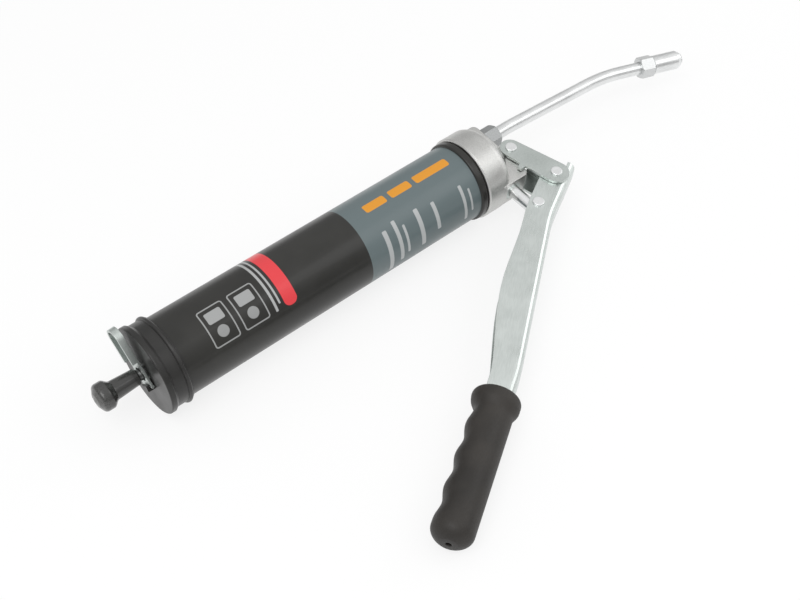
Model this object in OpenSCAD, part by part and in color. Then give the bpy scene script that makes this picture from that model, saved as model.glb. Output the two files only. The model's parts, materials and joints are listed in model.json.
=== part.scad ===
// Lever grease gun, lying on its side: barrel along X, head towards +X, lever towards -Y.
// All sizes are in millimetres. Local gun frame: X = 0 at the rear face of the head, on the barrel axis.

/* [Barrel] */
// Outside diameter of the barrel
barrel_d = 57; // [50:0.5:64]
// Wall of the barrel
barrel_wall = 1.2; // [0.8:0.1:2]
// Length of the barrel tube
barrel_len = 276; // [180:1:320]
// Depth of the barrel inside the head
barrel_seat = 10; // [8:0.5:11]
// Width of the rolled bead behind the head
bead_w = 6.2; // [4:0.1:9]
// Height of the rolled bead
bead_h = 1.7; // [0.8:0.1:2.2]

/* [Head] */
// Wall of the head's skirt outside the barrel
skirt_wall = 3; // [2.5:0.1:5]
// Length of the skirt
skirt_len = 23; // [20:0.5:26]
// Rounding of the skirt's front edge
skirt_round = 8; // [4:0.5:10]
// Width of the pump block
block_w = 19; // [18:0.2:19.6]
// Front face of the pump block
block_front = 37; // [34:0.5:40]
// Rounding of the pump block's edges
block_round = 4; // [2:0.5:6]
// Overhang of the pump block on the side away from the lever
block_top = 28; // [26:0.5:30]
// Reach of the pump block towards the lever
block_low = 30.5; // [28:0.5:30.5]
// Thickness of the head gasket
gasket_t = 2; // [1:0.2:2.6]
// Diameter of the grease inlet
inlet_d = 6; // [4:0.2:7]
// Distance of the grease inlet from the barrel axis
inlet_y = 10; // [6:0.5:14]

/* [Pump] */
// Diameter of the plunger
plunger_d = 9.5; // [7:0.1:10]
// Distance of the plunger axis in front of the head's rear face
plunger_x = 22.5; // [21:0.5:24]
// Length of the plunger from its pin to its tip
plunger_len = 54.4; // [48:0.2:57]
// Outside diameter of the plunger's cross eye
eye_d = 12; // [10:0.2:13]
// Depth of the pump bore past the barrel axis
pump_end = 21; // [18:0.5:23]
// Height of the packing
packing_h = 4.5; // [3:0.1:6]
// Thickness of the packing ring
packing_ring_t = 2; // [1:0.1:3]
// Wall of the packing
packing_wall = 2.2; // [1.5:0.1:3]

/* [Linkage] */
// Head pin in front of the head's rear face
head_pin_x = 41; // [39:0.5:43]
// Head pin below the barrel axis, towards the lever
head_pin_y = -6.5; // [-10:0.5:-4]
// Lever pin in front of the head's rear face
lever_pin_x = 51; // [49:0.5:53]
// Lever pin below the barrel axis
lever_pin_y = -43.5; // [-46:0.5:-42]
// Plunger pin below the barrel axis
plunger_pin_y = -55; // [-58:0.5:-54]
// Diameter of the link's pins
pin_d = 6; // [5:0.1:7]
// Diameter of the plunger pin
plunger_pin_d = 5.5; // [4.5:0.1:6.5]
// Diameter of the pins' heads
pin_head_d = 8.4; // [8:0.1:11]
// Thickness of the pins' heads
pin_head_t = 1.3; // [1:0.1:2.5]
// Sheet thickness of the link
link_wall = 2.2; // [1.6:0.1:3]
// Radius of the link's end at the head
link_head_r = 8; // [7:0.2:9]
// Radius of the link's end at the lever
link_lever_r = 9.5; // [8.6:0.1:10]
// Distance of the link's web from each pin
web_margin = 13; // [12:0.5:14]
// Length of the stop tab on the link's rear edge
tab_len = 4.5; // [2:0.5:6]
// Height of the stop tab
tab_h = 5; // [3:0.5:7]

/* [Lever] */
// Outside width of the lever channel
lever_w = 20; // [18:0.2:20.6]
// Sheet thickness of the lever
lever_wall = 2; // [1.4:0.1:2.6]
// Depth of the channel at its pins
toe_depth = 20; // [18:0.2:20.6]
// Depth of the channel at its belly
lever_depth = 25; // [21:0.5:27]
// Depth of the channel at the grip
mouth_depth = 18.5; // [16:0.5:19]
// Depth of the tang inside the grip
tang_depth = 14; // [11:0.5:14]
// Length of the tang inside the grip
tang_len = 80; // [50:1:90]
// Outer radius of the channel's bends
lever_round = 5.2; // [3:0.1:6]
// Angle between the barrel and the lever's long run
lever_angle = 37.1; // [32:0.1:42]
// Angle between the barrel and the lever's toe
toe_angle = 28; // [24:0.5:31]
// Length of the long run, from the plunger pin to the grip's axis
lever_run = 151; // [130:1:180]
// Distance of the grip's axis outside the line of the long run
grip_off = 1.5; // [0:0.1:2]
// Distance of the belly from the plunger pin
belly_at = 80; // [60:1:95]
// Distance of the channel's web from the plunger pin
web_off = 12.3; // [11.8:0.1:13]
// Distance of the channel's web from the lever pin
toe_margin = 10.2; // [9.6:0.1:10.6]
// Bend radius near the plunger pin
elbow_r = 120; // [60:5:150]
// Bend radius near the grip
grip_bend_r = 150; // [80:5:220]
// Length of the toe past the lever pin
toe_len = 15; // [12:0.5:18]

/* [Grip] */
// Angle between the barrel and the grip
grip_angle = 31.7; // [28:0.1:36]
// Length of the grip
grip_len = 107; // [98:1:130]
// Diameter of the grip
grip_d = 27.5; // [27:0.5:32]
// Diameter of the grip's collar
collar_d = 32.5; // [32:0.5:37]
// Length of the grip's collar
collar_len = 11; // [8:0.5:18]
// Number of finger waves
wave_count = 4; // [2:1:5]
// Depth of a finger wave
wave_depth = 2.1; // [0.5:0.1:3]
// Diameter of the vent hole in the grip's end
vent_d = 4; // [2:0.5:6]
// Depth of the vent hole
vent_depth = 12; // [6:1:20]

/* [Outlet] */
// Outlet axis above the barrel axis
outlet_y = 18; // [16:0.5:18]
// Outside diameter of the outlet boss
boss_d = 19; // [17:0.5:19]
// Diameter of the outlet's nipple
nipple_d = 12; // [11.8:0.1:12.4]
// Length of the outlet's nipple in front of the pump block
boss_len = 5; // [4:0.5:9]
// Diameter of the check ball
ball_d = 6.35; // [5:0.05:7]
// Diameter of the ball's seat
seat_d = 4; // [3:0.1:4.4]
// Thickness of metal between the pump bore and the seat
seat_wall = 3; // [2:0.2:4]

/* [Extension] */
// Outside diameter of the extension tube
tube_d = 9.8; // [8:0.1:11]
// Bore of the extension tube
tube_bore = 4; // [2:0.1:5]
// Length of the tube's run from the boss to the first bend
run_a = 22; // [18:1:40]
// Length of the tube's middle run
run_b = 76; // [40:1:120]
// Length of the tube's last run, up to the coupler
run_c = 24.5; // [6:0.5:40]
// First bend of the tube
angle_a = 3; // [1:0.5:10]
// Second bend of the tube
angle_b = 16; // [5:0.5:45]
// Radius of the tube's bends
bend_r = 110; // [40:5:160]
// Hexagon of the extension nut, across flats
nut_af = 15; // [13.5:0.5:18]
// Length of the extension nut
nut_len = 13; // [8:0.5:16]

/* [Coupler] */
// Hexagon of the coupler, across flats
coupler_af = 15; // [14:0.5:18]
// Length of the coupler's hexagon
coupler_hex_len = 11; // [9:0.5:16]
// Depth of the tube in the coupler
coupler_socket = 8; // [6:0.5:8]
// Diameter of the coupler's sleeve
sleeve_d = 14.4; // [13.6:0.1:17]
// Length of the coupler's sleeve
sleeve_len = 24; // [22:0.5:30]
// Bore of the jaws, for the nipple's head
jaw_bore = 6.6; // [6:0.1:7]
// Length of the jaws
jaw_len = 10; // [8:0.5:12]
// Width of the slits between the jaws
jaw_slit = 0.6; // [0.3:0.1:0.9]

/* [Rear cap] */
// Sheet thickness of the cap's skirt
cap_wall = 1.4; // [1:0.1:2]
// Thickness of the cap's end
cap_end_t = 2.5; // [1.5:0.1:4]
// Length of the cap's skirt
cap_len = 17; // [14:0.5:24]
// Width of each bead on the cap
cap_bead_w = 4.6; // [3:0.1:6]
// Outside diameter of the rod bushing
bush_d = 13; // [11:0.5:15]
// Thickness of the bushing's flange
bush_flange_t = 2; // [1:0.1:3]

/* [Follower] */
// Diameter of the follower rod
rod_d = 8; // [6:0.1:9]
// Gap between the follower and the head's rear face
follower_gap = 2; // [0:0.5:20]
// Length of the follower cup
cup_len = 14; // [10:0.5:24]
// Wall of the follower cup
cup_wall = 2.4; // [1.5:0.1:4]
// Thickness of the follower plate
plate_t = 1.6; // [1:0.1:3]
// Length of the nut at the rod's front
rod_nut_len = 6; // [4:0.5:7]
// Hexagon of the nut at the rod's front, across flats
rod_nut_af = 13; // [12:0.5:17]
// Wire of the follower spring
spring_wire = 2.2; // [1.4:0.1:3]
// Mean diameter of the follower spring
spring_d = 42; // [34:0.5:43]
// Turns of the follower spring
spring_turns = 13; // [8:1:16]
// Length of the knob
knob_len = 31; // [24:1:45]
// Diameter of the knob's neck
knob_neck_d = 13.4; // [11:0.2:16]
// Diameter of the knob's end
knob_d = 19.6; // [17:0.2:26]

/* [Catch] */
// Thickness of the catch plate
catch_t = 1.6; // [1:0.1:2.4]
// Width of the catch plate
catch_w = 15; // [12:0.5:20]
// Reach of the thumb tab from the rod's axis
catch_reach = 35.5; // [33:0.5:40]
// Distance of the catch's hinge edge from the rod's axis
catch_heel = 9; // [9:0.5:18]
// Height of the rim round the catch plate's thumb end
catch_rim = 3; // [2:0.5:6]
// Tilt of the catch plate when it grips the rod
catch_tilt = 4; // [3:0.5:7]
// Direction of the thumb tab, from +Y towards +Z
catch_dir = 50; // [0:1:90]

/* [Fits] */
// Radial clearance of a pin or shaft in its bore
run_gap = 0.05; // [0.02:0.01:0.1]
// Gap between pieces that are fixed to each other
seat_gap = 0.05; // [0.02:0.01:0.15]
// Gap between pieces that move past each other
move_gap = 0.3; // [0.2:0.05:0.4]

/* [Hidden] */
$fn = 64;
// Overlap of a cutting tool past the face that it cuts
cut = 1;
// Chamfer of small edges
edge_break = 1;

// Barrel and cap, derived
barrel_r = barrel_d / 2;
barrel_in = barrel_r - barrel_wall;
barrel_rear = barrel_seat - barrel_len;
skirt_r = barrel_r + skirt_wall;
cap_r = barrel_r + seat_gap + cap_wall;
cap_bead_h = skirt_r - cap_r;
cap_back = barrel_rear - cap_end_t;

// Pump and linkage, derived
head_pin_at = [head_pin_x, head_pin_y];
lever_pin_at = [lever_pin_x, lever_pin_y];
plunger_pin_at = [plunger_x, plunger_pin_y];
link_vec = lever_pin_at - head_pin_at;
link_len = norm(link_vec);
link_dir = atan2(link_vec[1], link_vec[0]);
link_in_w = lever_w + 2 * move_gap;
link_out_w = link_in_w + 2 * link_wall;
throat_x = barrel_seat + gasket_t;
packing_d = plunger_d + 2 * packing_wall;
// Reach of the link's pin from the middle of its round hole in the lever, over the whole stroke
link_wander = 2;
link_hole_r = pin_d / 2 + link_wander + move_gap;
link_hole_shift = [1.8, 0.85];
// Radius of the round ends of the lever's side walls, which cross the channel's edges by a small ease
toe_ease = 0.6;
toe_round = toe_depth - toe_margin + toe_ease;

// Lever path, derived: the web's outer face follows three straight lines joined by two bends
grip_axis_at = plunger_pin_at - lever_run * heading(lever_angle) + grip_off * outward(lever_angle);
// Distance of the grip's collar past the corner of the path
collar_gap = 10.5;
grip_start = grip_axis_at - collar_gap * heading(grip_angle);
// Web's distance from the grip's axis at the collar, and past the length over which it steps inwards
mouth_web = 10;
tang_web = 7.5;
mouth_len = 14;
toe_line = lever_pin_at + toe_margin * outward(toe_angle);
run_line = plunger_pin_at + web_off * outward(lever_angle);
grip_line = grip_start + mouth_web * outward(grip_angle);
elbow_at = meet(toe_line, toe_angle, run_line, lever_angle);
grip_bend_at = meet(grip_line, grip_angle, run_line, lever_angle);
// Stations of the two bends on the long run, from the plunger pin towards the grip
elbow_end = (run_line - elbow_at) * heading(lever_angle) + elbow_r * tan((lever_angle - toe_angle) / 2);
grip_bend_half = grip_bend_r * tan((lever_angle - grip_angle) / 2);
grip_bend_from = (run_line - grip_bend_at) * heading(lever_angle) - grip_bend_half;

// Attitude at rest: the gun lies on its skirt, its cap and the end of its grip
grip_tip = grip_start - grip_len * heading(grip_angle);
grip_end_round = grip_d / 3;
grip_low_y = grip_tip[1] + grip_end_round * sin(grip_angle);
roll = asin((skirt_r - grip_d / 2) / -grip_low_y);

// Outlet and extension, derived
pump_face_x = plunger_x + plunger_d / 2 + run_gap;
seat_x = pump_face_x + seat_wall;
ball_x = seat_x + sqrt(pow(ball_d / 2, 2) - pow(seat_d / 2, 2));
valve_r = ball_d / 2 + move_gap;
boss_x = block_front + boss_len;
// Depth of the tube in the boss
tube_seat = 2;
tube_start = [boss_x - tube_seat, outlet_y];
// Check spring: wire, mean diameter and its seat on the ball
valve_wire = 0.7;
valve_coil_d = 4.2;
valve_spring_x = ball_x + 0.43 * ball_d;
turn_a = tube_start + run_a * heading(0);
turn_a_end = bend_end(turn_a, 0, angle_a);
turn_b = turn_a_end + run_b * heading(-angle_a);
turn_b_end = bend_end(turn_b, -angle_a, angle_b);
coupler_dir = -angle_a - angle_b;
tube_end = turn_b_end + run_c * heading(coupler_dir);
coupler_at = tube_end - coupler_socket * heading(coupler_dir);

// Coupler stations along its axis
sleeve_wall = 2.1;
shank_len = 5;
jaw_proud = 1.6;
jaw_lip = 0.8;
coupler_wire = 0.8;
sleeve_z = coupler_hex_len + seat_gap;
shank_r = sleeve_d / 2 - sleeve_wall;
shank_z = coupler_hex_len + shank_len;
sleeve_end_z = sleeve_z + sleeve_len;
jaw_end_z = sleeve_end_z + jaw_proud;
jaw_z = jaw_end_z - jaw_len;
seal_t = 4;
seal_z = jaw_z - seat_gap - seal_t;

// Follower, derived
follower_x = -follower_gap;
plate_x = follower_x - cup_wall - seat_gap - plate_t;
spring_front = plate_x - seat_gap;
spring_rear = barrel_rear + seat_gap;
rod_front = follower_x + rod_nut_len;
// Rolled heel of the catch plate, which turns in the cap's hook
catch_roll_r = catch_t / 2 + move_gap;
catch_pivot_x = cap_back - move_gap - catch_roll_r;
// Room between the catch plate and the knob
knob_gap = 1.7;
knob_x = catch_pivot_x - catch_t / 2 - (catch_heel + catch_w / 2) * tan(catch_tilt) - knob_gap;

// Part frame: origin under the middle of the part's box
coupler_tip = coupler_at + jaw_end_z * heading(coupler_dir);
mid_x = (coupler_tip[0] + knob_x - knob_len) / 2;
// Reach of the grip's round end past its tip, across the barrel
grip_reach = 0.293 * grip_d;
mid_y = (skirt_r + (grip_tip[1] - grip_reach) * cos(roll)) / 2;

// Direction of an angle in the lever's plane
function heading(a) = [cos(a), sin(a)];
// Direction out of the lever's web, away from the barrel
function outward(a) = [sin(a), -cos(a)];
// Point where the line through p at angle a meets the line through q at angle b
function meet(p, a, q, b) = p + heading(a) * cross(q - p, heading(b)) / cross(heading(a), heading(b));
// End of a bend to the right that starts at p with heading h and turns by t
function bend_end(p, h, t) = p + bend_r * ([sin(h), -cos(h)] - [sin(h - t), -cos(h - t)]);
// Arc of n steps about c from angle a to angle b
function arc(c, r, a, b, n = 8) = [for (i = [0:n]) c + r * heading(a + (b - a) * i / n)];
// Smooth step from 0 to 1
function smooth(t) = let (u = min(1, max(0, t))) u * u * (3 - 2 * u);

// Lays the gun frame on the floor
module lay() translate([-mid_x, -mid_y, skirt_r]) rotate([roll, 0, 0]) children();
// Puts a local Z axis along the barrel
module along_x(x = 0) translate([x, 0, 0]) rotate([0, 90, 0]) children();
// Puts a local Z axis along +Y
module along_y(x, y) translate([x, y, 0]) rotate([-90, 0, 0]) children();
// Puts a local Z axis along the coupler
module along_coupler(z = 0)
    translate([coupler_at[0], coupler_at[1], 0]) rotate([0, 0, coupler_dir]) along_x(z) children();
// Puts local X along the link, from the head pin to the lever pin
module along_link() translate([head_pin_x, head_pin_y, 0]) rotate([0, 0, link_dir]) children();
// Puts local X along the grip, from its collar to its end
module along_grip()
    translate([grip_start[0], grip_start[1], 0]) rotate([0, 0, 180 + grip_angle]) children();
// Puts local X along the catch plate, out from its heel's axis, and local Z to the rear
module along_catch()
    translate([catch_pivot_x, 0, 0]) rotate([catch_dir, 0, 0]) translate([0, -catch_heel, 0])
        rotate([0, 0, catch_tilt]) rotate([0, -90, 0]) rotate([0, 0, 90]) children();

// Ring about Z
module ring(r, bore, h) difference() {
    cylinder(r = r, h = h);
    translate([0, 0, -cut]) cylinder(r = bore, h = h + 2 * cut);
}
// Hexagon nut about Z, with chamfered corners
module hex_nut(af, bore, h, chamfer = 0.8) {
    corner_r = af / 2 / cos(30);
    difference() {
        intersection() {
            cylinder(r = corner_r, h = h, $fn = 6);
            rotate_extrude() polygon([[0, 0], [corner_r - chamfer, 0], [corner_r, chamfer],
                [corner_r, h - chamfer], [corner_r - chamfer, h], [0, h]]);
        }
        translate([0, 0, -cut]) cylinder(r = bore, h = h + 2 * cut);
    }
}
// Riveted pin about Z, across a width w
module rivet(d, w) {
    cylinder(d = d, h = w, center = true);
    for (side = [0, 1]) mirror([0, 0, side]) translate([0, 0, w / 2 + seat_gap]) rotate_extrude()
        polygon(concat([[0, -seat_gap], [d / 2, -seat_gap], [d / 2, 0], [pin_head_d / 2, 0]],
            arc([pin_head_d / 2 - pin_head_t / 2, pin_head_t / 2], pin_head_t / 2, 0, 90, 4),
            [[0, pin_head_t]]));
}
// Closed sweep of a list of rings with equal point counts. An open section, such as a channel,
// lists its outer points and then its inner ones backwards, so that strips close its ends.
module loft(rings, open_section = false) {
    n = len(rings[0]);
    m = len(rings);
    first = (m - 1) * n;
    ends = open_section
        ? [for (j = [0:n / 2 - 2]) each [[j, j + 1, n - 2 - j, n - 1 - j],
            [first + n - 1 - j, first + n - 2 - j, first + j + 1, first + j]]]
        : [[for (j = [0:n - 1]) j], [for (j = [n - 1:-1:0]) first + j]];
    sides = [for (i = [0:m - 2], j = [0:n - 1])
        [i * n + j, (i + 1) * n + j, (i + 1) * n + (j + 1) % n, i * n + (j + 1) % n]];
    polyhedron(points = [for (r = rings) each r], faces = concat(ends, sides), convexity = 10);
}
// Coil spring about Z from 0 to h
module coil(d, wire, h, turns, steps = 16, sides = 6) {
    n = turns * steps;
    rise = h - wire;
    loft([for (i = [0:n]) let (a = 360 * turns * i / n, z = wire / 2 + rise * i / n)
        [for (j = [0:sides - 1]) let (b = -360 * j / sides)
            [(d / 2 + wire / 2 * cos(b)) * cos(a), (d / 2 + wire / 2 * cos(b)) * sin(a),
                z + wire / 2 * sin(b)]]]);
}
// Rectangle with round corners
module round_rect(x0, x1, y0, y1, r) {
    translate([x0 + r, y0]) square([x1 - x0 - 2 * r, y1 - y0]);
    translate([x0, y0 + r]) square([x1 - x0, y1 - y0 - 2 * r]);
    for (x = [x0 + r, x1 - r], y = [y0 + r, y1 - r]) translate([x, y]) circle(r = r);
}

module barrel_tube() color([0.13, 0.13, 0.12]) lay() along_x()
    rotate_extrude($fn = 128) polygon(concat(
        [[barrel_in, barrel_rear], [barrel_r, barrel_rear], [barrel_r, -bead_w]],
        arc([barrel_r, -bead_w + bead_h], bead_h, -90, 0, 6),
        arc([barrel_r, -move_gap - bead_h], bead_h, 0, 90, 6),
        [[barrel_r, barrel_seat], [barrel_in, barrel_seat]]));

// Outer form of the head's skirt and shoulder, about X
module skirt_form() along_x() rotate_extrude($fn = 128) polygon(concat(
    [[0, 0], [skirt_r - edge_break, 0], [skirt_r, edge_break]],
    arc([skirt_r - skirt_round, skirt_len - skirt_round], skirt_round, 0, 90, 10),
    [[block_w / 2 + block_round, block_front - block_round], [0, block_front - block_round]]));

// Pump block, link lug and outlet boss
module block_form() {
    translate([0, 0, -block_w / 2]) linear_extrude(block_w) {
        round_rect(barrel_seat, block_front, -block_low, block_top, block_round);
        translate([block_front - 2 * block_round, head_pin_y - link_head_r])
            square([head_pin_x - block_front + 2 * block_round, 2 * link_head_r]);
        translate(head_pin_at) circle(r = link_head_r);
    }
    translate([0, outlet_y, 0]) {
        along_x(barrel_seat) cylinder(d = boss_d, h = block_front - barrel_seat);
        along_x(block_front - cut) cylinder(d = nipple_d, h = boss_len + cut);
    }
    along_y(plunger_x, -block_low) cylinder(d = block_w, h = block_low + block_top - block_round);
}

module head_casting() color([0.78, 0.78, 0.76]) lay() difference() {
    union() {
        skirt_form();
        intersection() {
            block_form();
            along_x() cylinder(r = skirt_r + block_round, h = 2 * block_front);
        }
    }
    along_x(-cut) cylinder(r = barrel_r + seat_gap, h = cut + throat_x, $fn = 128);
    along_y(plunger_x, -block_low - cut)
        cylinder(d = plunger_d + 2 * run_gap, h = block_low + pump_end + cut);
    along_y(plunger_x, -block_low - cut)
        cylinder(d = packing_d + 2 * seat_gap, h = packing_h + packing_ring_t + seat_gap + cut);
    translate([0, -inlet_y, 0]) along_x(throat_x - cut)
        cylinder(d = inlet_d, h = plunger_x - throat_x + cut);
    translate([0, outlet_y, 0]) {
        along_x(plunger_x) cylinder(d = seat_d, h = seat_x - plunger_x + cut);
        along_x(seat_x) cylinder(r = valve_r, h = boss_x - seat_x + cut);
        along_x(tube_start[0]) cylinder(d = tube_d + 2 * seat_gap, h = boss_len + cut);
    }
    translate(head_pin_at) cylinder(d = pin_d + 2 * run_gap, h = 2 * block_w, center = true);
}

module head_gasket() color([0.1, 0.1, 0.1]) lay()
    along_x(barrel_seat + seat_gap) ring(barrel_r, barrel_in - edge_break, gasket_t - 2 * seat_gap);

module packing_ring() color([0.6, 0.6, 0.58]) lay()
    along_y(plunger_x, -block_low) ring(packing_d / 2, plunger_d / 2 + run_gap, packing_ring_t);

module plunger_packing() color([0.1, 0.1, 0.1]) lay()
    along_y(plunger_x, -block_low + packing_ring_t + seat_gap)
        ring(packing_d / 2, plunger_d / 2 + run_gap, packing_h - seat_gap);

module plunger() color([0.8, 0.8, 0.8]) lay() difference() {
    eye_w = lever_w - 2 * lever_wall - 2 * move_gap;
    union() {
        along_y(plunger_x, plunger_pin_y) cylinder(d = plunger_d, h = plunger_len - edge_break);
        along_y(plunger_x, plunger_pin_y + plunger_len - edge_break)
            cylinder(d1 = plunger_d, d2 = plunger_d - 2 * edge_break, h = edge_break);
        translate(plunger_pin_at) cylinder(d = eye_d, h = eye_w, center = true);
    }
    translate(plunger_pin_at) cylinder(d = plunger_pin_d + 2 * run_gap, h = 2 * eye_w, center = true);
}

// Side outline of the link, with both ends round and a stop tab on the rear edge
module link_outline() {
    lean = asin((link_lever_r - link_head_r) / link_len);
    tab_x = [web_margin, web_margin + tab_h];
    edge = [for (x = tab_x) -(link_head_r + x * sin(lean)) / cos(lean)];
    polygon(concat(
        arc([0, 0], link_head_r, 90 + lean, 270 - lean, 16),
        [[tab_x[0], edge[0]], [tab_x[0] + edge_break, edge[0] - tab_len],
            [tab_x[1] - edge_break, edge[1] - tab_len], [tab_x[1], edge[1]]],
        arc([link_len, 0], link_lever_r, -90 - lean, 90 + lean, 16)));
}

module link_yoke() color([0.7, 0.72, 0.7]) lay() along_link() difference() {
    translate([0, 0, -link_out_w / 2]) linear_extrude(link_out_w) link_outline();
    // Room inside the channel, behind the web
    web_in = link_head_r - link_wall;
    translate([-2 * link_lever_r, -4 * link_lever_r, -link_in_w / 2])
        cube([link_len + 4 * link_lever_r, 4 * link_lever_r + web_in, link_in_w]);
    // Open forks at both ends of the web
    translate([-2 * link_lever_r, 0, -link_in_w / 2])
        cube([2 * link_lever_r + web_margin, 2 * link_lever_r, link_in_w]);
    translate([link_len - web_margin, 0, -link_in_w / 2])
        cube([2 * link_lever_r + web_margin, 2 * link_lever_r, link_in_w]);
    for (x = [0, link_len]) translate([x, 0, 0])
        cylinder(d = pin_d + 2 * seat_gap, h = 2 * link_out_w, center = true);
}

module head_pin() color([0.75, 0.75, 0.73]) lay()
    translate(head_pin_at) rivet(pin_d, link_out_w);
module lever_pin() color([0.75, 0.75, 0.73]) lay()
    translate(lever_pin_at) rivet(pin_d, link_out_w);
module plunger_pin() color([0.75, 0.75, 0.73]) lay()
    translate(plunger_pin_at) rivet(plunger_pin_d, lever_w);

// Outside of the channel section, grown by g: u runs from the web to the open side, v across
function channel_outside(d, g = 0) =
    let (w = lever_w / 2 + g, r = lever_round + g, c = lever_round)
    concat([[d + g, w]], arc([c, w - r], r, 90, 180, 5), arc([c, r - w], r, 180, 270, 5), [[d + g, -w]]);
// Channel section of depth d
function channel(d) =
    let (w = lever_w / 2, t = lever_wall, r = lever_round)
    concat(channel_outside(d), [[d, t - w]], arc([r, r - w], r - t, 270, 180, 5),
        arc([r, w - r], r - t, 180, 90, 5), [[d, w - t]]);
// One ring of the lever: a section with its web at p, square to heading a
function lever_ring(p, a, section) =
    [for (q = section) let (e = p - q[0] * outward(a)) [e[0], e[1], -q[1]]];
// Stations round a bend at corner p from heading a to heading b, with depths from d0 to d1
function lever_bend(p, a, b, r, d0, d1) =
    let (s = sign(b - a), k = r * tan(abs(b - a) / 2), c = p + k * heading(a) + s * r * outward(a))
    [for (t = [0:1/6:1]) let (h = a + (b - a) * t)
        lever_ring(c - s * r * outward(h), h, channel(d0 + (d1 - d0) * t))];
// Depth of the channel at station t of the long run
function run_depth(t) = t < belly_at
    ? toe_depth + (lever_depth - toe_depth) * smooth((t - elbow_end) / (belly_at - elbow_end))
    : lever_depth - (lever_depth - mouth_depth)
        * smooth((t - belly_at) / (lever_run + collar_gap - belly_at));
// Web of the lever inside the grip, at station s of the grip
function tang_at(s, web) = grip_start - s * heading(grip_angle) + web * outward(grip_angle);

module lever_channel() color([0.66, 0.69, 0.67]) lay() difference() {
    steps = 9;
    loft(concat(
        [lever_ring(toe_line + toe_len * heading(toe_angle), toe_angle, channel(toe_depth))],
        lever_bend(elbow_at, toe_angle, lever_angle, elbow_r, toe_depth, toe_depth),
        [for (i = [1:steps - 1]) let (t = elbow_end + (grip_bend_from - elbow_end) * i / steps)
            lever_ring(run_line - t * heading(lever_angle), lever_angle, channel(run_depth(t)))],
        lever_bend(grip_bend_at, lever_angle, grip_angle, grip_bend_r, run_depth(grip_bend_from),
            run_depth(grip_bend_from + 2 * grip_bend_half)),
        [lever_ring(tang_at(0, mouth_web), grip_angle, channel(mouth_depth)),
            lever_ring(tang_at(mouth_len, tang_web), grip_angle, channel(tang_depth)),
            lever_ring(tang_at(tang_len, tang_web), grip_angle, channel(tang_depth))]),
        open_section = true);
    // Round ends of the side walls, above the toe
    translate(lever_pin_at) rotate([0, 0, toe_angle]) linear_extrude(2 * lever_w, center = true)
        difference() {
            translate([0, lever_round - toe_margin + toe_ease]) square([2 * toe_len, 2 * lever_depth]);
            circle(r = toe_round);
            translate([-cut, -lever_depth]) square([toe_round + cut, lever_depth]);
        }
    translate(plunger_pin_at) cylinder(d = plunger_pin_d + 2 * seat_gap, h = 2 * lever_w, center = true);
    translate(lever_pin_at + link_hole_shift)
        cylinder(r = link_hole_r, h = 2 * lever_w, center = true);
}

// Radius of the grip at station s, without the finger waves
function grip_r(s) =
    let (front = min(1, s / 3), tail = max(0, (s - grip_len + grip_end_round) / grip_end_round),
        neck = smooth((s - 0.55 * collar_len) / (0.7 * collar_len)),
        body = (grip_d + (collar_d - grip_d) * (1 - neck)) / 2)
    body * (0.9 + 0.1 * sqrt(1 - pow(1 - front, 2))) * sqrt(1 - 0.8 * tail * tail);
// Depth of the finger waves at station s
function wave(s) =
    let (first = 0.2 * collar_len, last = grip_len - 1.35 * grip_end_round, t = (s - first) / (last - first))
    t < 0 || t > 1 ? 0 : wave_depth * (1 - cos(360 * wave_count * t)) / 2;

module grip_sleeve() color([0.22, 0.21, 0.2]) lay() along_grip() difference() {
    rings = 56;
    sides = 24;
    loft([for (i = [0:rings]) let (s = grip_len * i / rings)
        [for (j = [0:sides - 1]) let (a = 360 * j / sides, r = grip_r(s) - wave(s) * pow(max(0, sin(a)), 2))
            [s, -r * sin(a), r * cos(a)]]]);
    // Pocket for the lever's tang
    loft([for (st = [[-cut, mouth_web, mouth_depth], [0, mouth_web, mouth_depth],
            [mouth_len, tang_web, tang_depth], [tang_len + move_gap, tang_web, tang_depth]])
        [for (q = channel_outside(st[2], seat_gap)) [st[0], st[1] - q[0], -q[1]]]]);
    along_x(grip_len - vent_depth) cylinder(d = vent_d, h = vent_depth + cut);
}

module check_ball() color([0.8, 0.8, 0.8]) lay() translate([ball_x, outlet_y, 0]) sphere(d = ball_d);

module check_spring() color([0.7, 0.7, 0.7]) lay() translate([0, outlet_y, 0])
    along_x(valve_spring_x)
        coil(valve_coil_d, valve_wire, tube_start[0] - valve_spring_x - seat_gap, 3, 12);

// Stations of the tube path, each a point and a heading
function tube_bend(p, h, t, n) = [for (i = [0:n]) [bend_end(p, h, t * i / n), h - t * i / n]];
function tube_path() = concat([[tube_start, 0]], tube_bend(turn_a, 0, angle_a, 2),
    tube_bend(turn_b, -angle_a, angle_b, 10), [[tube_end, coupler_dir]]);
// Tube path as a solid of radius r, longer by extra at both ends
module tube_solid(r, extra = 0, sides = 32) {
    path = tube_path();
    last = len(path) - 1;
    loft([for (i = [0:last])
        let (h = path[i][1], p = path[i][0] + (i == 0 ? -extra : i == last ? extra : 0) * heading(h))
        [for (j = [0:sides - 1]) let (b = 360 * j / sides, e = p + r * cos(b) * [-sin(h), cos(h)])
            [e[0], e[1], r * sin(b)]]]);
}

module extension_tube() color([0.85, 0.85, 0.86]) lay() difference() {
    tube_solid(tube_d / 2);
    tube_solid(tube_bore / 2, cut, 16);
}

module extension_nut() color([0.8, 0.8, 0.8]) lay() translate([0, outlet_y, 0]) difference() {
    along_x(block_front + seat_gap) hex_nut(nut_af, tube_d / 2 + seat_gap, nut_len);
    along_x(block_front - cut) cylinder(d = nipple_d + 2 * seat_gap, h = boss_len + move_gap + cut);
}

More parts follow.
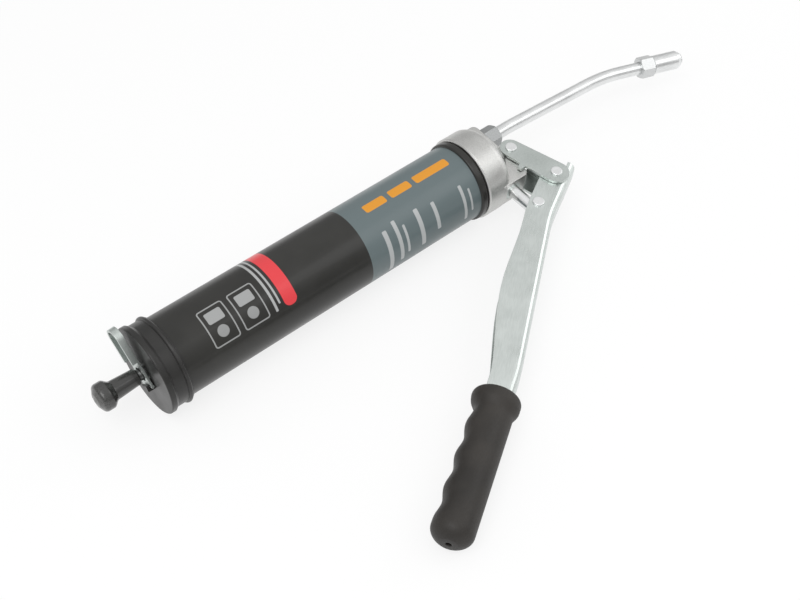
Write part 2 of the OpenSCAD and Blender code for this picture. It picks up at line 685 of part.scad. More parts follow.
module coupler_body() color([0.72, 0.72, 0.72]) lay() along_coupler() difference() {
    union() {
        hex_nut(coupler_af, tube_bore / 2, coupler_hex_len);
        cylinder(r = shank_r, h = shank_z);
    }
    translate([0, 0, -cut]) cylinder(d = tube_d + 2 * seat_gap, h = coupler_socket + seat_gap + cut);
    translate([0, 0, -cut]) cylinder(d = tube_bore, h = shank_z + 2 * cut);
}

module coupler_sleeve() color([0.75, 0.75, 0.75]) lay() along_coupler(sleeve_z) rotate_extrude() {
    r = sleeve_d / 2;
    in_r = shank_r + seat_gap;
    nose_r = shank_r - jaw_lip + seat_gap;
    nose = 3 * jaw_lip;
    polygon([[in_r, 0], [r - edge_break, 0], [r, edge_break], [r, sleeve_len - 3 * edge_break],
        [r - jaw_proud, sleeve_len], [nose_r, sleeve_len], [nose_r, sleeve_len - nose],
        [in_r, sleeve_len - nose]]);
}

module coupler_jaws() color([0.6, 0.6, 0.6]) lay() along_coupler(jaw_z) difference() {
    nose = 3 * jaw_lip + jaw_proud + 8 * seat_gap;
    nose_r = shank_r - jaw_lip;
    chamfer = jaw_lip / 2;
    rotate_extrude() polygon([[jaw_bore / 2, 0], [shank_r, 0], [shank_r, jaw_len - nose],
        [nose_r, jaw_len - nose], [nose_r, jaw_len - chamfer], [nose_r - chamfer, jaw_len],
        [jaw_bore / 2, jaw_len]]);
    for (a = [45, 135]) rotate([0, 0, a])
        cube([3 * shank_r, jaw_slit, 3 * jaw_len], center = true);
}

module coupler_seal() color([0.1, 0.1, 0.1]) lay() along_coupler(seal_z)
    ring(shank_r - seat_gap, tube_bore / 2, seal_t);

module coupler_spring() color([0.7, 0.7, 0.7]) lay() along_coupler(shank_z + seat_gap)
    coil(2 * shank_r - 3 * coupler_wire, coupler_wire, seal_z - shank_z - 2 * seat_gap, 2, 12);

module rear_cap() color([0.1, 0.1, 0.1]) lay() difference() {
    union() {
        along_x() rotate_extrude($fn = 128) polygon(concat(
            [[0, cap_back], [skirt_r - edge_break, cap_back]],
            arc([skirt_r - edge_break, cap_back + edge_break], edge_break, -90, 0, 4),
            [[skirt_r, cap_back + cap_bead_w - edge_break], [cap_r, cap_back + cap_bead_w + edge_break],
                [cap_r, cap_back + cap_len - cap_bead_w]],
            arc([cap_r, cap_back + cap_len - cap_bead_w / 2], cap_bead_h, -90, 90, 8),
            [[cap_r, cap_back + cap_len], [barrel_r + seat_gap, cap_back + cap_len],
                [barrel_r + seat_gap, barrel_rear - seat_gap], [0, barrel_rear - seat_gap]]));
        catch_hook();
    }
    along_x(cap_back - cut) cylinder(d = bush_d + 2 * seat_gap, h = cap_end_t + 2 * cut);
}
// Hook on the cap that holds the heel of the catch plate
module catch_hook() rotate([catch_dir, 0, 0]) {
    hook_t = 1.6;
    hook_lip = 4.2;
    depth = 2 * catch_roll_r + 2 * move_gap;
    foot = -catch_heel - catch_roll_r - move_gap - hook_t;
    translate([cap_back - depth, foot, -catch_w / 4]) cube([depth + cut, hook_t, catch_w / 2]);
    translate([cap_back - depth - hook_t, foot, -catch_w / 4]) cube([hook_t, hook_lip, catch_w / 2]);
}

module rod_bushing() color([0.7, 0.6, 0.35]) lay() difference() {
    union() {
        along_x(cap_back) cylinder(d = bush_d, h = cap_end_t + bush_flange_t);
        along_x(barrel_rear) cylinder(d = 1.4 * bush_d, h = bush_flange_t);
    }
    along_x(cap_back - cut) cylinder(d = rod_d + 2 * run_gap, h = cap_end_t + bush_flange_t + 2 * cut);
}

// Outline of the catch plate from station x0 on, shrunk by g
module catch_outline(x0 = 0, g = 0) {
    end = catch_heel + catch_reach - catch_w / 2;
    translate([x0, g - catch_w / 2]) square([end - x0, catch_w - 2 * g]);
    translate([end, 0]) circle(d = catch_w - 2 * g);
}
module catch_plate() color([0.72, 0.73, 0.71]) lay() difference() {
    rim_from = catch_heel + knob_neck_d / 2 + 2 * catch_t;
    along_catch() {
        translate([0, 0, -catch_t / 2]) linear_extrude(catch_t) catch_outline();
        linear_extrude(catch_t / 2 + catch_rim) catch_outline(rim_from);
        rotate([90, 0, 0]) cylinder(r = catch_roll_r, h = catch_w, center = true);
    }
    along_catch() {
        translate([catch_heel, 0, 0])
            cylinder(d = rod_d + 8 * move_gap, h = catch_t + 2 * cut, center = true);
        translate([0, 0, catch_t / 2]) linear_extrude(catch_rim + cut)
            catch_outline(rim_from - cut, catch_t);
    }
}

module follower_rod() color([0.72, 0.72, 0.72]) lay()
    along_x(knob_x - knob_len / 2) cylinder(d = rod_d, h = rod_front - knob_x + knob_len / 2);

module rod_knob() color([0.08, 0.08, 0.08]) lay() difference() {
    neck = knob_neck_d / 2;
    full = knob_d / 2;
    flare = knob_x - 0.56 * knob_len;
    flare_len = 0.16 * knob_len;
    back = knob_x - knob_len;
    edge_r = 3;
    along_x() rotate_extrude() polygon(concat(
        [[0, knob_x], [neck - 2 * edge_break, knob_x], [neck - edge_break, knob_x - edge_break],
            [neck, flare]],
        [for (t = [0:1/8:1]) [neck + (full - neck) * smooth(t), flare - flare_len * t]],
        arc([full - edge_r, back + 1.7 * edge_r], edge_r, 0, -60, 5),
        [[0.5 * full, back + 0.8], [0, back]]));
    along_x(knob_x - knob_len / 2 - seat_gap) cylinder(d = rod_d + 2 * seat_gap, h = knob_len);
}

module rod_nut() color([0.7, 0.7, 0.7]) lay()
    along_x(follower_x + seat_gap) hex_nut(rod_nut_af, rod_d / 2 + seat_gap, rod_nut_len - seat_gap);

module follower_plate() color([0.66, 0.66, 0.66]) lay()
    along_x(plate_x) ring(barrel_in - cup_wall - move_gap - seat_gap, rod_d / 2 + seat_gap, plate_t);

module follower_cup() color([0.12, 0.12, 0.12]) lay() along_x(follower_x - cup_len) rotate_extrude() {
    r = barrel_in - move_gap;
    polygon([[rod_d / 2 + seat_gap, cup_len], [rod_d / 2 + seat_gap, cup_len - cup_wall],
        [r - cup_wall, cup_len - cup_wall], [r - cup_wall, 0], [r, 0], [r, cup_len - edge_break],
        [r - edge_break, cup_len]]);
}

module follower_spring() color([0.6, 0.6, 0.6]) lay()
    along_x(spring_rear) coil(spring_d, spring_wire, spring_front - spring_rear, spring_turns);

barrel_tube();
head_casting();
head_gasket();
plunger_packing();
packing_ring();
plunger();
link_yoke();
head_pin();
lever_pin();
plunger_pin();
lever_channel();
grip_sleeve();
check_ball();
check_spring();
extension_tube();
extension_nut();
coupler_body();
coupler_sleeve();
coupler_jaws();
coupler_seal();
coupler_spring();
rear_cap();
rod_bushing();
catch_plate();
follower_rod();
rod_knob();
rod_nut();
follower_plate();
follower_cup();
follower_spring();
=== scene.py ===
import json
import math
import bmesh
import bpy
from mathutils import Matrix, Vector


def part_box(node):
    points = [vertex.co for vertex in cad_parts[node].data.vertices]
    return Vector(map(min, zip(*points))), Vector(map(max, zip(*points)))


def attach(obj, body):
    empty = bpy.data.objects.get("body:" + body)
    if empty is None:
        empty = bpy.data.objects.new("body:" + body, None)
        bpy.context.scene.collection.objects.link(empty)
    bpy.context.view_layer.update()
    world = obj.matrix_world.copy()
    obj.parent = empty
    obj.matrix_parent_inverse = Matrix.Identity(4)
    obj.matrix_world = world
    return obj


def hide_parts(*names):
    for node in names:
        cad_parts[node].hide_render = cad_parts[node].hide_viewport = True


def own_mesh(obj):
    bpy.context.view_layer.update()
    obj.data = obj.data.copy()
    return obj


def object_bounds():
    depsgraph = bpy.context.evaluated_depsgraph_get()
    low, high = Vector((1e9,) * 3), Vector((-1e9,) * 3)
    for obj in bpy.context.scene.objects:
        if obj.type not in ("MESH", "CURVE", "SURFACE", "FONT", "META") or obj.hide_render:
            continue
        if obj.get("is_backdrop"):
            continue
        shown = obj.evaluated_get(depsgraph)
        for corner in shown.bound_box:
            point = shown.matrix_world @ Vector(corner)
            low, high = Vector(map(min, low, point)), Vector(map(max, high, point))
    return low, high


MM = 0.001
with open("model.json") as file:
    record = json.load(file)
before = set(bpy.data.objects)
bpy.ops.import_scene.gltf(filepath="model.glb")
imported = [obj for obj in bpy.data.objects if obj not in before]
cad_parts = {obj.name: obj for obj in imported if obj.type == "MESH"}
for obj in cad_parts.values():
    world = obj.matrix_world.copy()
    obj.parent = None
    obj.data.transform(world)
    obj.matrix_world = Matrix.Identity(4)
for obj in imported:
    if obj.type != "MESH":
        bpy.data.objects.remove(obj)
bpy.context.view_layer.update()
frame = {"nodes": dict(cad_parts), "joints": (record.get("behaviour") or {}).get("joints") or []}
nodes = frame["nodes"]

# Camera at the photograph's viewpoint, in metres and degrees
CAMERA_AT = (-0.42075, -0.38368, 0.66857)
CAMERA_HEADING = 40.29
CAMERA_DIP = 49.34
LENS_MM = 57.27
SENSOR_MM = 36.0

# Studio: sky from horizon to zenith, floor and soft boxes
SKY_HORIZON = 0.36
SKY_ZENITH = 0.98
FLOOR_SIZE = 60.0
FLOOR_GREY = 0.9
FLOOR_GLOW = 0.8
SOFT_BOXES = {
    "key": {"at": (-0.75, -0.35, 1.25), "size": 0.9, "power": 7.0},
    "rim": {"at": (1.25, -0.18, 0.5), "size": 0.8, "power": 2.6},
    "sheen": {"at": (0.62, -0.62, 1.02), "size": 0.7, "power": 1.6},
}

# Barrel: its axis and the head's rear edge from the frame, and its outside radius, in metres
barrel_low, barrel_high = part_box("barrel_tube")
AXIS_Y = (barrel_low.y + barrel_high.y) / 2
AXIS_Z = (barrel_low.z + barrel_high.z) / 2
BARREL_R = 28.5 * MM
HEAD_REAR_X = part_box("head_casting")[0].x

# Directions of the long run of the lever and of the tube in the floor plane, in degrees
LEVER_TURN = 37.1
TUBE_TURN = -3.0
# Stretch of the grain along the lever and along the tube
LEVER_DRAWN = (0.06, 1, 1)
TUBE_DRAWN = (0.08, 1, 1)

# Colours of paint and print, linear
BLACK_PAINT = (0.0165, 0.0162, 0.0145)
WORN_PAINT = tuple(1.5 * part for part in BLACK_PAINT)
LABEL_GREY = (0.122, 0.156, 0.162)
PRINT_RED = (0.72, 0.05, 0.06)
PRINT_ORANGE = (0.70, 0.29, 0.022)
PRINT_PALE = (0.55, 0.56, 0.56)
# Pale grey of the knob's end: scuffs, and a painted highlight of the end's reflection
SCUFF_AND_HIGHLIGHT_GREY = (0.095, 0.095, 0.091)

# Dark and pale tones of each material, linear
CAST = ((0.53, 0.53, 0.515), (0.70, 0.70, 0.685))
LEVER_ZINC = ((0.57, 0.61, 0.59), (0.70, 0.74, 0.72))
ZINC = ((0.47, 0.51, 0.49), (0.59, 0.63, 0.61))
BRIGHT = ((0.72, 0.73, 0.73), (0.86, 0.87, 0.87))
STEEL = ((0.40, 0.41, 0.41), (0.56, 0.57, 0.57))
HEX_STEEL = ((0.56, 0.57, 0.57), (0.68, 0.69, 0.69))
DULL_PLATING = ((0.30, 0.31, 0.31), (0.42, 0.43, 0.43))
# Painted shade: steel darkened for the follower rod and its bushing, which sit in shade
SHADE_DARK_STEEL = ((0.12, 0.12, 0.12), (0.22, 0.22, 0.22))
SPRING_STEEL = ((0.3, 0.3, 0.3), (0.5, 0.5, 0.5))
GRIP_RUBBER = ((0.018, 0.0158, 0.0136), (0.034, 0.0300, 0.0262))
KNOB_BLACK = ((0.022, 0.022, 0.021), (0.040, 0.040, 0.038))
CAP_ENAMEL = ((0.014, 0.014, 0.013), (0.026, 0.025, 0.024))
SEAL_BLACK = ((0.014, 0.014, 0.014), (0.024, 0.024, 0.023))

# Sizes of cloudy tone, handling marks and fine grain, in millimetres
METAL_CLOUD = 18.0
MOULDED_MARKS = 22.0
PAINT_MARKS = 26.0
PAINT_PEEL = 1.6
KNOB_MARKS = 14.0
# Size of the pale patches on the knob's end: scuffs and painted highlight
KNOB_SCUFF_AND_HIGHLIGHT = 1.3
KNOB_SKIN = 0.8
# Length of the knob's end that is painted pale with scuffs and a painted highlight, in millimetres
SCUFF_AND_HIGHLIGHT_REACH = 9
# Soft border of printed shapes, in millimetres to each side
INK_BLUR = 0.12
# The mix node's two colour sockets and the bevel node's samples
MIX_A = 6
MIX_B = 7
BEVEL_SAMPLES = 6


class Finish:
    """A material with short calls that add its nodes."""

    def __init__(self, name):
        self.material = bpy.data.materials.new(name)
        self.material.use_nodes = True
        self.tree = self.material.node_tree
        self.shader = self.tree.nodes["Principled BSDF"]
        self.object_spot = self.node("TexCoord").outputs["Object"]

    def put(self, socket, value):
        if isinstance(value, bpy.types.NodeSocket):
            self.tree.links.new(value, socket)
        elif value is not None:
            socket.default_value = value

    def node(self, kind, values=None, **settings):
        made = self.tree.nodes.new("ShaderNode" + kind)
        for key, value in settings.items():
            setattr(made, key, value)
        for key, value in (values or {}).items():
            self.put(made.inputs[key], value)
        return made

    def calc(self, operation, a, b=None):
        return self.node("Math", {0: a, 1: b}, operation=operation).outputs[0]

    def vector(self, operation, a, b=None):
        made = self.node("VectorMath", {0: a, 1: b}, operation=operation)
        return made.outputs["Value" if operation == "LENGTH" else "Vector"]

    def spread(self, value, low, high, out_low=0.0, out_high=1.0):
        """Maps the span from low to high onto the span from out_low to out_high."""
        made = self.node("MapRange", {
            "Value": value,
            "From Min": low,
            "From Max": high,
            "To Min": out_low,
            "To Max": out_high,
        })
        return made.outputs[0]

    def blend(self, share, a, b):
        made = self.node("Mix", data_type="RGBA")
        self.put(made.inputs[0], share)
        for socket, colour in ((made.inputs[MIX_A], a), (made.inputs[MIX_B], b)):
            self.put(socket, colour if isinstance(colour, bpy.types.NodeSocket) else (*colour, 1))
        return made.outputs[2]

    def stretched(self, turn, scale):
        """Object coordinates turned about Z, then scaled."""
        turned = self.node("Mapping", {"Vector": self.object_spot, "Rotation": (0, 0, -math.radians(turn))})
        return self.node("Mapping", {"Vector": turned.outputs[0], "Scale": scale}).outputs[0]

    def noise(self, size_mm, detail=3.0, spot=None):
        values = {"Vector": spot or self.object_spot, "Scale": 1 / (size_mm * MM), "Detail": detail}
        return self.node("TexNoise", values).outputs["Fac"]

    def surface(self, colour, roughness, height, height_mm, edge_mm, metallic=0.0, coat=0.0, specular=0.5):
        """Joins colour, roughness and bump to the shader; edge_mm rounds the edges' shading."""
        self.put(self.shader.inputs["Base Color"], colour)
        self.put(self.shader.inputs["Roughness"], roughness)
        self.shader.inputs["Metallic"].default_value = metallic
        self.shader.inputs["Coat Weight"].default_value = coat
        self.shader.inputs["Specular IOR Level"].default_value = specular
        rounded = self.node("Bevel", {"Radius": edge_mm * MM}, samples=BEVEL_SAMPLES).outputs[0]
        values = {"Height": height, "Distance": height_mm * MM, "Strength": 1.0, "Normal": rounded}
        self.put(self.shader.inputs["Normal"], self.node("Bump", values).outputs[0])
        return self.material


def metal(name, tones, rough, grain_mm, height_mm, turn=0.0, stretch=(1, 1, 1), edge_mm=0.35):
    """Metal with a grain that varies its tone, its roughness and its height."""
    f = Finish(name)
    grain = f.noise(grain_mm, 4.0, f.stretched(turn, stretch))
    cloud = f.noise(METAL_CLOUD, 2.0)
    colour = f.blend(f.spread(f.calc("ADD", grain, cloud), 0.7, 1.3), *tones)
    roughness = f.spread(cloud, 0.35, 0.65, *rough)
    return f.surface(colour, roughness, grain, height_mm, edge_mm, metallic=1.0)


def moulded(name, tones, rough, grain_mm, height_mm, edge_mm=0.5, coat=0.0, specular=0.5):
    """Moulded or painted surface with a fine skin and slight handling marks."""
    f = Finish(name)
    skin = f.noise(grain_mm, 5.0)
    marks = f.noise(MOULDED_MARKS, 3.0)
    colour = f.blend(f.spread(marks, 0.35, 0.7), *tones)
    roughness = f.spread(marks, 0.3, 0.7, *rough)
    return f.surface(colour, roughness, skin, height_mm, edge_mm, coat=coat, specular=specular)


class Print:
    """Flat printed shapes on the barrel, in millimetres behind the head and of arc from the top."""

    def __init__(self, f):
        self.f = f
        spot = f.node("SeparateXYZ", {0: f.object_spot})
        x, y, z = spot.outputs
        along = f.calc("MULTIPLY", f.calc("SUBTRACT", HEAD_REAR_X, x), 1 / MM)
        angle = f.calc("ARCTAN2", f.calc("SUBTRACT", AXIS_Y, y), f.calc("SUBTRACT", z, AXIS_Z))
        round_arc = f.calc("MULTIPLY", angle, BARREL_R / MM)
        self.spot = f.node("CombineXYZ", {0: along, 1: round_arc}).outputs[0]

    def distance(self, along, arc, corner):
        """Distance in millimetres outside a rectangle with round corners, given by its two spans."""
        f = self.f
        centre = ((along[0] + along[1]) / 2, (arc[0] + arc[1]) / 2, 0)
        half = ((along[1] - along[0]) / 2 - corner, (arc[1] - arc[0]) / 2 - corner, 0)
        off = f.vector("ABSOLUTE", f.vector("SUBTRACT", self.spot, centre))
        outside = f.vector("MAXIMUM", f.vector("SUBTRACT", off, half), (0, 0, 0))
        return f.calc("SUBTRACT", f.vector("LENGTH", outside), corner)

    def patch(self, along, arc, corner, opacity=1.0):
        """Share of ink of a filled shape."""
        return self.f.spread(self.distance(along, arc, corner), INK_BLUR, -INK_BLUR, 0.0, opacity)

    def outline(self, along, arc, corner, width, opacity):
        """Share of ink of a line just inside a shape's border."""
        edge = self.f.calc("ABSOLUTE", self.f.calc("ADD", self.distance(along, arc, corner), width))
        return self.f.spread(edge, width / 2 + INK_BLUR, width / 2 - INK_BLUR, 0.0, opacity)


# Printed fields of the barrel: spans behind the head and spans of arc from the top, in millimetres
ALL_ROUND = (-100, 100)
LABEL_SPAN = (6.25, 105)
ORANGE_ARC = (-2.4, 4.6)
ORANGE_BARS = [(16, 46), (50, 68), (72, 90)]
PALE_BARS = [
    ((86.5, 90.0), (21, 55)),
    ((77.5, 80.5), (18, 50)),
    ((72.0, 74.0), (24, 46)),
    ((58.0, 61.5), (19, 48)),
    ((44.0, 47.0), (21, 42)),
    ((19.5, 22.0), (21, 49)),
    ((14.0, 15.6), (26, 44)),
]
RED_SPAN = (164.5, 174.3)
RED_ARC = (-34, 31)
SIDE_LINES = [((176.6, 178.0), (-24, 26)), ((180.0, 181.8), (-24, 30))]
# Framed panels, each with a plain bar and a plain dot
PANELS = [(186.0, 206.0), (209.0, 229.0)]
PANEL_ARC = (3, 31)
PANEL_LINE = 0.9
PANEL_BAR_HALF = 6
PANEL_BAR_ARC = (7, 15)
PANEL_DOT_R = 4
PANEL_DOT_ARC = (18, 26)


def barrel_finish():
    """Satin black paint with a printed grey label, plain bars and a red band."""
    f = Finish("barrel_paint")
    ink = Print(f)
    marks = f.noise(PAINT_MARKS, 3.0)
    colour = f.blend(f.spread(marks, 0.3, 0.7), BLACK_PAINT, WORN_PAINT)
    layers = [(LABEL_GREY, ink.patch(LABEL_SPAN, ALL_ROUND, corner=0.2))]
    for along in ORANGE_BARS:
        layers.append((PRINT_ORANGE, ink.patch(along, ORANGE_ARC, corner=1.6)))
    for along, arc in PALE_BARS:
        layers.append((PRINT_PALE, ink.patch(along, arc, corner=0.8, opacity=0.75)))
    layers.append((PRINT_RED, ink.patch(RED_SPAN, RED_ARC, corner=4.4)))
    for along, arc in SIDE_LINES:
        layers.append((PRINT_PALE, ink.patch(along, arc, corner=0.5, opacity=0.7)))
    for panel in PANELS:
        middle = sum(panel) / 2
        bar = (middle - PANEL_BAR_HALF, middle + PANEL_BAR_HALF)
        dot = (middle - PANEL_DOT_R, middle + PANEL_DOT_R)
        layers += [
            (PRINT_PALE, ink.outline(panel, PANEL_ARC, corner=2.5, width=PANEL_LINE, opacity=0.55)),
            (PRINT_PALE, ink.patch(bar, PANEL_BAR_ARC, corner=1.2, opacity=0.6)),
            (PRINT_PALE, ink.patch(dot, PANEL_DOT_ARC, corner=PANEL_DOT_R, opacity=0.5)),
        ]
    for ink_colour, share in layers:
        colour = f.blend(share, colour, ink_colour)
    roughness = f.spread(marks, 0.3, 0.7, 0.28, 0.38)
    peel = f.noise(PAINT_PEEL, 2.0)
    return f.surface(colour, roughness, peel, height_mm=0.006, edge_mm=0.4, coat=0.1, specular=0.36)


def knob_finish():
    """Glossy black plastic, painted pale on the end that is pulled and set down: scuffs and a painted
    highlight of the end's reflection.
    """
    f = Finish("black_plastic")
    marks = f.noise(KNOB_MARKS, 3.0)
    plain = f.blend(f.spread(marks, 0.35, 0.7), *KNOB_BLACK)
    end_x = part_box("rod_knob")[0].x
    x = f.node("SeparateXYZ", {0: f.object_spot}).outputs[0]
    near_end = f.spread(x, end_x + SCUFF_AND_HIGHLIGHT_REACH * MM, end_x)
    # Pale patches near the knob's end: scuffs and a painted highlight
    scuff_and_highlight = f.calc("MULTIPLY", near_end, f.spread(f.noise(KNOB_SCUFF_AND_HIGHLIGHT, 5.0), 0.3, 0.75))
    colour = f.blend(scuff_and_highlight, plain, SCUFF_AND_HIGHLIGHT_GREY)
    roughness = f.spread(scuff_and_highlight, 0.0, 1.0, 0.24, 0.42)
    return f.surface(colour, roughness, f.noise(KNOB_SKIN, 4.0), height_mm=0.01, edge_mm=0.5, coat=0.5)


FINISHES = {
    "barrel": barrel_finish(),
    "cast": metal("cast_alloy", CAST, rough=(0.36, 0.5), grain_mm=0.9, height_mm=0.025, edge_mm=0.8),
    "lever_zinc": metal("zinc_lever", LEVER_ZINC, rough=(0.25, 0.35), grain_mm=0.5, height_mm=0.002,
                        turn=LEVER_TURN, stretch=LEVER_DRAWN),
    "zinc": metal("zinc_sheet", ZINC, rough=(0.28, 0.4), grain_mm=1.0, height_mm=0.008),
    "tube": metal("bright_tube", BRIGHT, rough=(0.28, 0.36), grain_mm=0.8, height_mm=0.001,
                  turn=TUBE_TURN, stretch=TUBE_DRAWN),
    "rivet": metal("rivet_zinc", BRIGHT, rough=(0.3, 0.4), grain_mm=0.7, height_mm=0.003),
    "steel": metal("turned_steel", STEEL, rough=(0.26, 0.36), grain_mm=0.7, height_mm=0.004),
    "hex": metal("hex_steel", HEX_STEEL, rough=(0.3, 0.4), grain_mm=0.8, height_mm=0.003),
    "plated": metal("dull_plating", DULL_PLATING, rough=(0.4, 0.5), grain_mm=0.8, height_mm=0.006),
    "shade_dark": metal("shade_dark_steel", SHADE_DARK_STEEL, rough=(0.3, 0.4), grain_mm=0.6, height_mm=0.003),
    "chrome": metal("polished_chrome", BRIGHT, rough=(0.12, 0.18), grain_mm=0.6, height_mm=0.001),
    "spring": metal("spring_wire", SPRING_STEEL, rough=(0.3, 0.4), grain_mm=0.6, height_mm=0.004,
                    edge_mm=0.2),
    "rubber": moulded("grip_rubber", GRIP_RUBBER, rough=(0.46, 0.6), grain_mm=0.9, height_mm=0.16,
                      edge_mm=1.2, specular=0.4),
    "plastic": knob_finish(),
    "cap": moulded("cap_enamel", CAP_ENAMEL, rough=(0.28, 0.42), grain_mm=1.2, height_mm=0.008,
                   coat=0.1, specular=0.36),
    "seal": moulded("seal_rubber", SEAL_BLACK, rough=(0.54, 0.68), grain_mm=0.5, height_mm=0.02, edge_mm=0.2),
}
NODE_FINISH = {
    "barrel": ["barrel_tube"],
    "cast": ["head_casting"],
    "lever_zinc": ["lever_channel"],
    "zinc": ["link_yoke", "catch_plate", "packing_ring", "follower_plate"],
    "rivet": ["head_pin", "lever_pin", "plunger_pin"],
    "tube": ["extension_tube", "coupler_sleeve"],
    "hex": ["coupler_body"],
    "steel": ["coupler_jaws", "rod_nut", "check_ball"],
    "plated": ["extension_nut"],
    # Painted shade on the follower rod and its bushing
    "shade_dark": ["follower_rod", "rod_bushing"],
    "chrome": ["plunger"],
    "spring": ["check_spring", "coupler_spring", "follower_spring"],
    "rubber": ["grip_sleeve"],
    "plastic": ["rod_knob"],
    "cap": ["rear_cap"],
    "seal": ["head_gasket", "plunger_packing", "coupler_seal", "follower_cup"],
}
for finish, names in NODE_FINISH.items():
    for name in names:
        nodes[name].data.materials.clear()
        nodes[name].data.materials.append(FINISHES[finish])

# Springs that a joint shortens: the joint, and the end that stays where it is
PRESSED_SPRINGS = {
    "follower_spring": {"joint": "rod_pull", "fixed_end": "rear"},
    "check_spring": {"joint": "ball_lift", "fixed_end": "front"},
}


def make_pressed_spring(name, joint, fixed_end):
    """Coil that stands for a spring node, on a mesh of its own; the joint's travel is not used."""
    coil = bpy.data.objects.new(name + "_coil", nodes[name].data.copy())
    bpy.context.scene.collection.objects.link(coil)
    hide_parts(name)
    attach(coil, "gun_body")
    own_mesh(coil)


# Grip, in millimetres and degrees; stations count from the collar's face to the round end
GRIP_TURN = 31.7
GRIP_LENGTH = 107.0
GRIP_R = 13.75
GRIP_ROUND = 2 * GRIP_R / 3
# Share of the squared radius that the round end loses
TAIL_LOSS = 0.8
COLLAR_R = 16.25
COLLAR_LENGTH = 11.0
COLLAR_EDGE = 3.0
# Share of the collar's radius at its face
COLLAR_FACE = 0.9
# Where the collar starts to narrow and over how much, in shares of its length
NECK_START = 0.55
NECK_REACH = 0.7
# Finger waves: their start in shares of the collar, their stop in shares of the round end
WAVE_COUNT = 4
WAVE_DEPTH = 2.1
WAVE_START = 0.2
WAVE_STOP = 1.35
VENT_R = 2.0
VENT_DEPTH = 12.0
# Lever's pocket in the grip: stations with the web's distance from the axis and the channel's depth
POCKET = [(0.0, 10.0, 18.5), (14.0, 7.5, 14.0), (80.3, 7.5, 14.0)]
POCKET_HALF_WIDTH = 10.05
POCKET_ROUND = 5.2
POCKET_GAP = 0.05
# Steps of the mesh round the grip, on its two ends, along its body and on the pocket's corners
GRIP_SIDES = 80
END_STEPS = 12
BODY_STEPS = 72
CORNER_STEPS = 6
# Edges with a larger angle stay sharp, in degrees
SHARP_EDGE = 35
# Depth of the end of the grip's solid that shows where its axis is, in millimetres
TIP_DEPTH = 0.05


def ease(t):
    """Smooth step from 0 to 1."""
    t = min(1.0, max(0.0, t))
    return t * t * (3 - 2 * t)


def grip_radius(s):
    """Radius of the grip at station s, without the finger waves."""
    front = min(1.0, s / COLLAR_EDGE)
    tail = max(0.0, 1 - (GRIP_LENGTH - s) / GRIP_ROUND)
    neck = ease((s / COLLAR_LENGTH - NECK_START) / NECK_REACH)
    body = COLLAR_R + (GRIP_R - COLLAR_R) * neck
    edge = COLLAR_FACE + (1 - COLLAR_FACE) * math.sqrt(1 - (1 - front) ** 2)
    return body * edge * math.sqrt(1 - TAIL_LOSS * tail ** 2)


def finger_wave(s):
    """Depth of the finger waves at station s."""
    first = WAVE_START * COLLAR_LENGTH
    last = GRIP_LENGTH - WAVE_STOP * GRIP_ROUND
    t = (s - first) / (last - first)
    return WAVE_DEPTH * (1 - math.cos(2 * math.pi * WAVE_COUNT * t)) / 2 if 0 < t < 1 else 0.0


def grip_stations():
    """Stations along the grip, close together on the collar's edge and on the round end."""
    quarter = [math.pi / 2 * i / END_STEPS for i in range(END_STEPS + 1)]
    straight = GRIP_LENGTH - GRIP_ROUND - COLLAR_EDGE
    return ([COLLAR_EDGE * (1 - math.cos(a)) for a in quarter]
            + [COLLAR_EDGE + straight * i / BODY_STEPS for i in range(1, BODY_STEPS)]
            + [GRIP_LENGTH - GRIP_ROUND * (1 - math.sin(a)) for a in quarter])


def grip_section(s):
    """Ring of the grip at station s: the waves are on the side that faces the barrel."""
    ring = []
    for i in range(GRIP_SIDES):
        a = 2 * math.pi * i / GRIP_SIDES
        r = grip_radius(s) - finger_wave(s) * max(0.0, math.sin(a)) ** 2
        ring.append((s, -r * math.sin(a), r * math.cos(a)))
    return ring


def round_section(s, r):
    """Plain ring at station s."""
    turns = [2 * math.pi * i / GRIP_SIDES for i in range(GRIP_SIDES)]
    return [(s, -r * math.sin(a), r * math.cos(a)) for a in turns]


def pocket_section(s, web, depth):
    """Outline of the lever's channel at station s, with round corners at its web."""
    r = POCKET_ROUND + POCKET_GAP
    half = [(depth + POCKET_GAP, POCKET_HALF_WIDTH)]
    for i in range(CORNER_STEPS + 1):
        a = math.pi / 2 * (1 + i / CORNER_STEPS)
        half.append((POCKET_ROUND + r * math.cos(a), POCKET_HALF_WIDTH - r + r * math.sin(a)))
    return [(s, web - u, v) for u, v in half] + [(s, web - u, -v) for u, v in reversed(half)]


def grip_placement():
    """Matrix from the grip's stations to the frame, read from its node and the lever's hinge."""
    hinge = Vector(next(j["axis"] for j in frame["joints"] if j["name"] == "lever_swing")).normalized()
    along = Matrix.Rotation(math.radians(GRIP_TURN), 3, hinge) @ Vector((-1, 0, 0))
    axes = Matrix((along, hinge.cross(along), hinge))
    points = [axes @ vertex.co for vertex in nodes["grip_sleeve"].data.vertices]
    far = max(point.x for point in points)
    tip = [point for point in points if point.x > far - TIP_DEPTH * MM]
    middle = [(min(point[k] for point in tip) + max(point[k] for point in tip)) / 2 for k in (1, 2)]
    start = Vector((far - GRIP_LENGTH * MM, *middle))
    return Matrix.Translation(axes.transposed() @ start) @ axes.transposed().to_4x4() @ Matrix.Scale(MM, 4)


